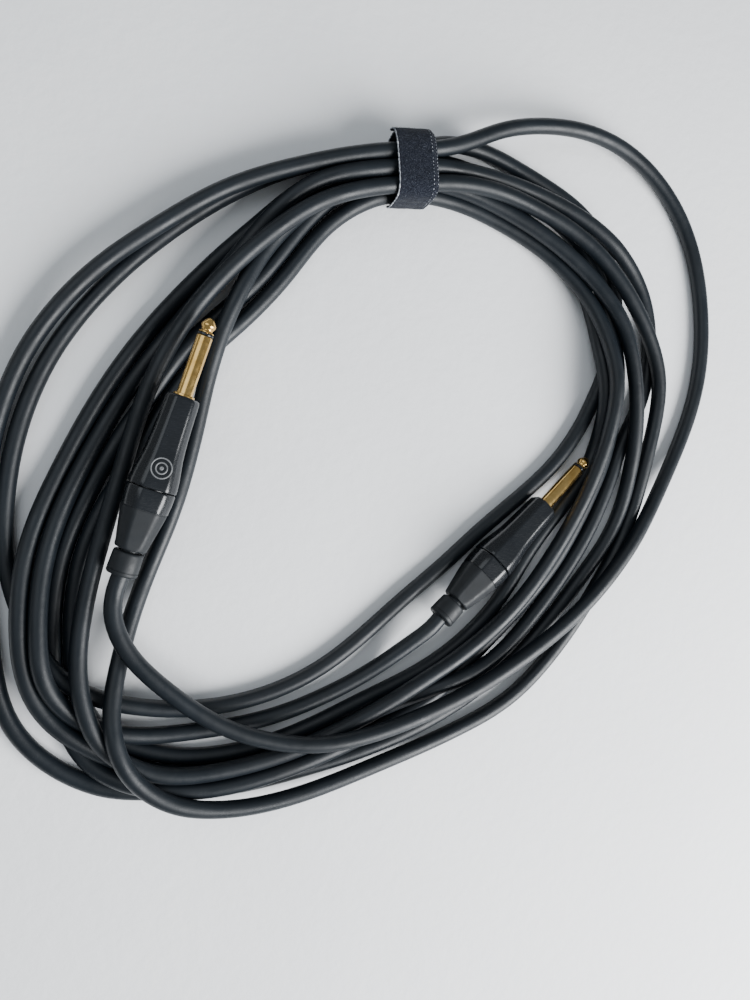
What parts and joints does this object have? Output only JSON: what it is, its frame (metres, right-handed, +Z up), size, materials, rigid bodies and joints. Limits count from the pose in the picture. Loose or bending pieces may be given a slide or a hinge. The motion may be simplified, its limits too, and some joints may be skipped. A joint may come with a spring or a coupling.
{
  "type": "instrument cable",
  "caption": "Coiled black instrument cable with a straight gold mono plug on each end, held together by a hook-and-loop cable tie.",
  "frame": {"origin": "centre of the coil's footprint, on the plane that it lies on", "axes": "+Z up out of the flat coil; +Y towards the tie; +X to the right with the tie at the far side"},
  "size_m": [0.337, 0.3046, 0.0289],
  "materials": {
    "cable_rubber": "satin black rubber jacket",
    "black_plastic": "semi-gloss moulded black plastic",
    "gold_plate": "polished gold plating",
    "tinned_copper": "tinned copper",
    "white_insulation": "matte white polyethylene",
    "tie_fabric": "napped hook-and-loop fabric, dark navy black"
  },
  "bodies": {
    "cable_and_plugs": {"cable_coil": "cable_rubber", "cable_inner_run": "cable_rubber", "cable_tail_a": "cable_rubber", "cable_tail_b": "cable_rubber", "plug_a_core_conductor": "tinned_copper", "plug_a_core_insulation": "white_insulation", "plug_a_ground_lug": "tinned_copper", "plug_a_jacket_end": "cable_rubber", "plug_a_rear_insulator": "black_plastic", "plug_a_shell": "black_plastic", "plug_a_shield_braid": "tinned_copper", "plug_a_sleeve": "gold_plate", "plug_a_tip": "gold_plate", "plug_a_tip_insulator": "black_plastic", "plug_a_tip_solder_cup": "tinned_copper", "plug_b_core_conductor": "tinned_copper", "plug_b_core_insulation": "white_insulation", "plug_b_ground_lug": "tinned_copper", "plug_b_jacket_end": "cable_rubber", "plug_b_rear_insulator": "black_plastic", "plug_b_shell": "black_plastic", "plug_b_shield_braid": "tinned_copper", "plug_b_sleeve": "gold_plate", "plug_b_tip": "gold_plate", "plug_b_tip_insulator": "black_plastic", "plug_b_tip_solder_cup": "tinned_copper", "tie_strap": "tie_fabric"},
    "boot_a_carriage": {"plug_a_chuck": "black_plastic", "plug_a_collar": "black_plastic"},
    "boot_a": {"plug_a_boot": "black_plastic"},
    "boot_b_carriage": {"plug_b_chuck": "black_plastic", "plug_b_collar": "black_plastic"},
    "boot_b": {"plug_b_boot": "black_plastic"},
    "tie_end": {"tie_end_tab": "tie_fabric"}
  },
  "joints": [
    {"name": "boot_a_slide", "type": "slide", "parent": "cable_and_plugs", "child": "boot_a_carriage", "axis": [-0.3276, -0.9434, -0.0523], "range_m": [0, 0.006]},
    {"name": "boot_a_turn", "type": "hinge", "parent": "boot_a_carriage", "child": "boot_a", "pos_m": [-0.1143, -0.0505, 0.0175], "axis": [-0.3276, -0.9434, -0.0523], "range_deg": [0, 1440]},
    {"name": "boot_b_slide", "type": "slide", "parent": "cable_and_plugs", "child": "boot_b_carriage", "axis": [-0.7309, -0.6816, 0.0349], "range_m": [0, 0.006]},
    {"name": "boot_b_turn", "type": "hinge", "parent": "boot_b_carriage", "child": "boot_b", "pos_m": [0.0201, -0.0758, 0.0112], "axis": [-0.7309, -0.6816, 0.0349], "range_deg": [0, 1440]},
    {"name": "tie_end_peel", "type": "hinge", "parent": "cable_and_plugs", "child": "tie_end", "pos_m": [0.00689, 0.10646, 0.02285], "axis": [0.9976, 0.0698, 0], "range_deg": [0, 110]}
  ],
  "couplings": [
    {"joint": "boot_a_turn", "follows": "boot_a_slide", "rad_per_m": 4188.8},
    {"joint": "boot_b_turn", "follows": "boot_b_slide", "rad_per_m": 4188.8}
  ]
}
